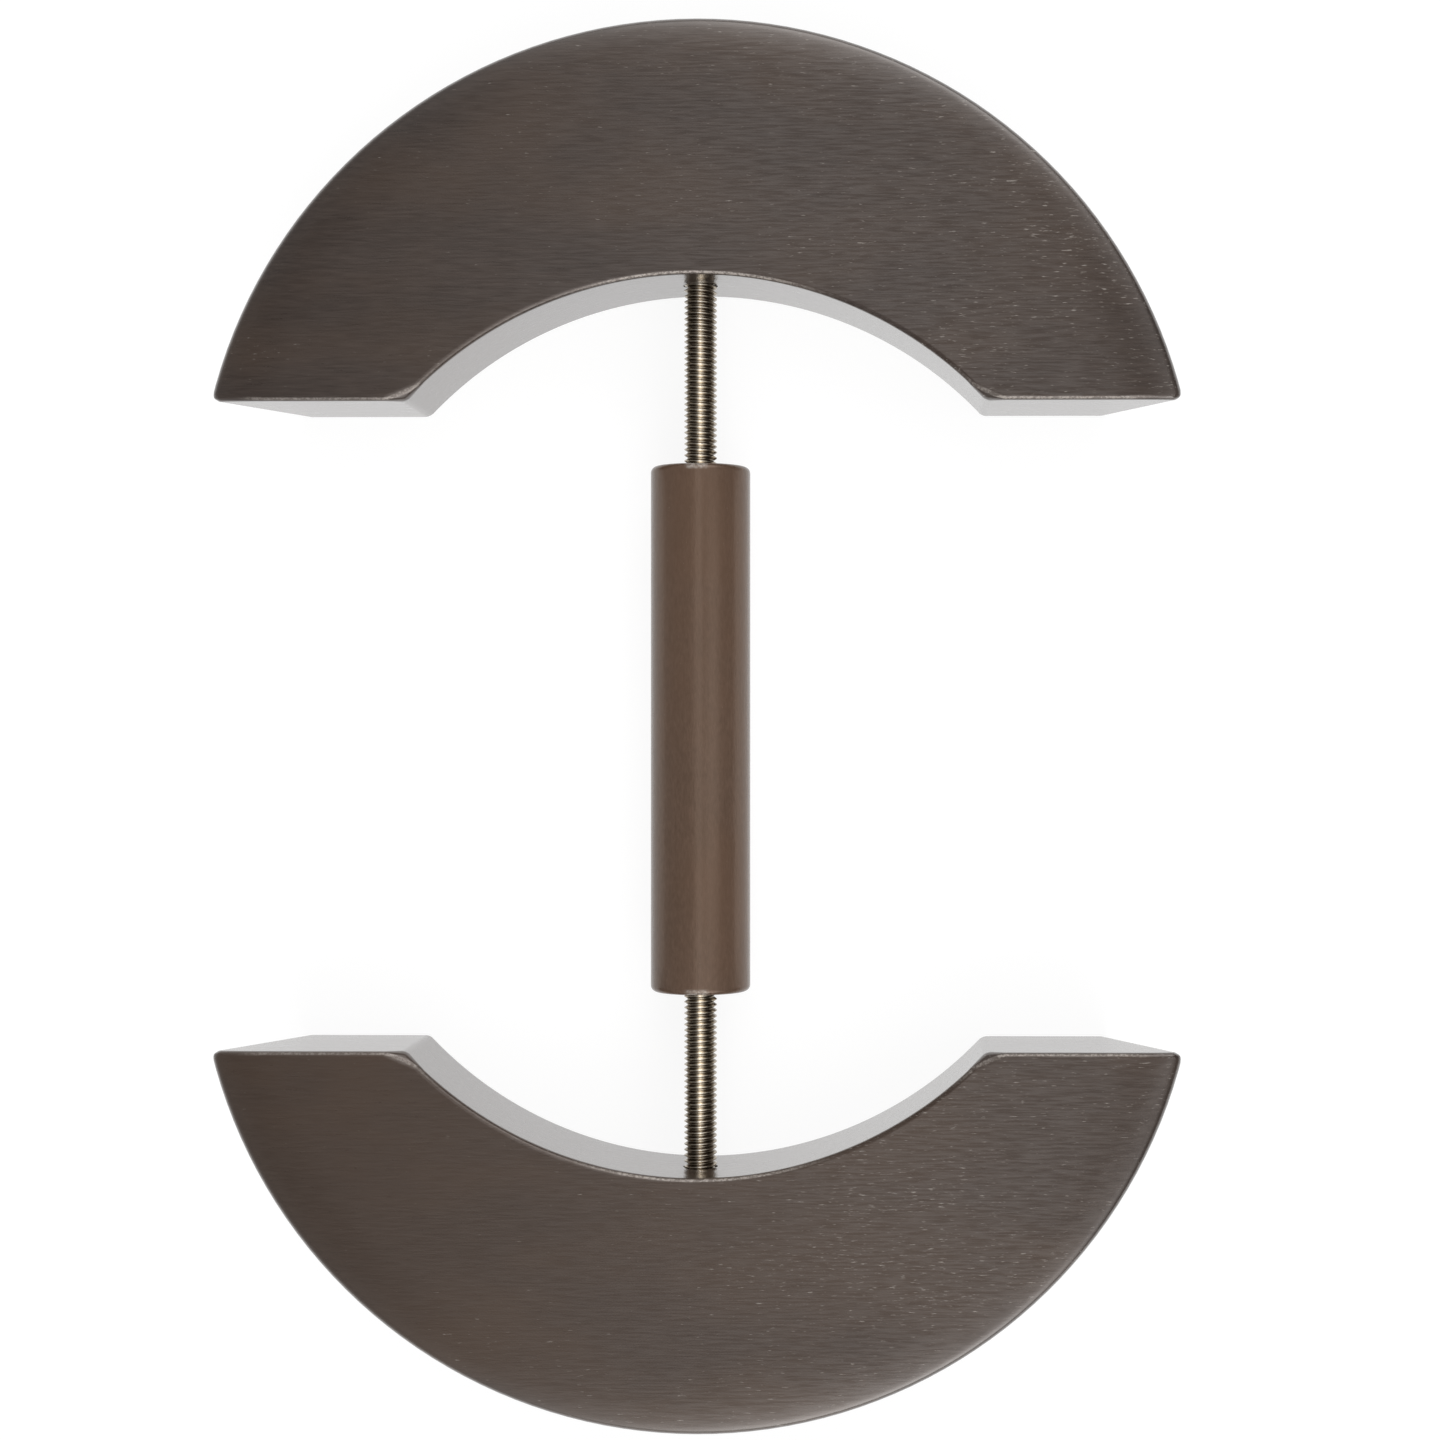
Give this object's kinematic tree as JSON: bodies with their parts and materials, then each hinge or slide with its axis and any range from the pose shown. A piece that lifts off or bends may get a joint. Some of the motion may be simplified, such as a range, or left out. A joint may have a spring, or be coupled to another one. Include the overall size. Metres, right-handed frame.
{
  "type": "hat stretcher",
  "caption": "Wooden hat stretcher: crescent blocks with tapered outer walls on threaded rods, spread or drawn together by turning a round wooden handle between them.",
  "frame": {"origin": "middle of the whole length and width, on the plane that the blocks' far faces lie on", "axes": "+Y along the rods towards the upper block, +Z out of the near faces, +X to the right of the near faces"},
  "size_m": [0.1678, 0.2442, 0.025],
  "materials": {
    "block_wood": "dark brown stain under satin lacquer",
    "handle_wood": "dark brown stain under satin lacquer",
    "rod_steel": "bare rolled thread, nickel plated",
    "insert_brass": "turned"
  },
  "bodies": {
    "lower_half": {"lower_block": "block_wood", "lower_rod": "rod_steel"},
    "lower_nut": {"lower_handle_insert": "insert_brass"},
    "handle": {"handle": "handle_wood", "upper_handle_insert": "insert_brass"},
    "upper_half": {"upper_block": "block_wood", "upper_rod": "rod_steel"}
  },
  "joints": [
    {"name": "block_spread", "type": "slide", "parent": "lower_half", "child": "upper_half", "axis": [0, 1, 0], "range_m": [-0.06, 0.01]},
    {"name": "handle_travel", "type": "slide", "parent": "lower_half", "child": "lower_nut", "axis": [0, 1, 0], "range_m": [-0.03, 0.005]},
    {"name": "handle_turn", "type": "hinge", "parent": "lower_nut", "child": "handle", "pos_m": [0, 0, 0.0125], "axis": [0, 1, 0], "range_deg": [-10800, 1800]}
  ],
  "couplings": [
    {"joint": "handle_travel", "follows": "block_spread", "ratio": 0.5},
    {"joint": "handle_turn", "follows": "block_spread", "rad_per_m": 3141.6}
  ]
}
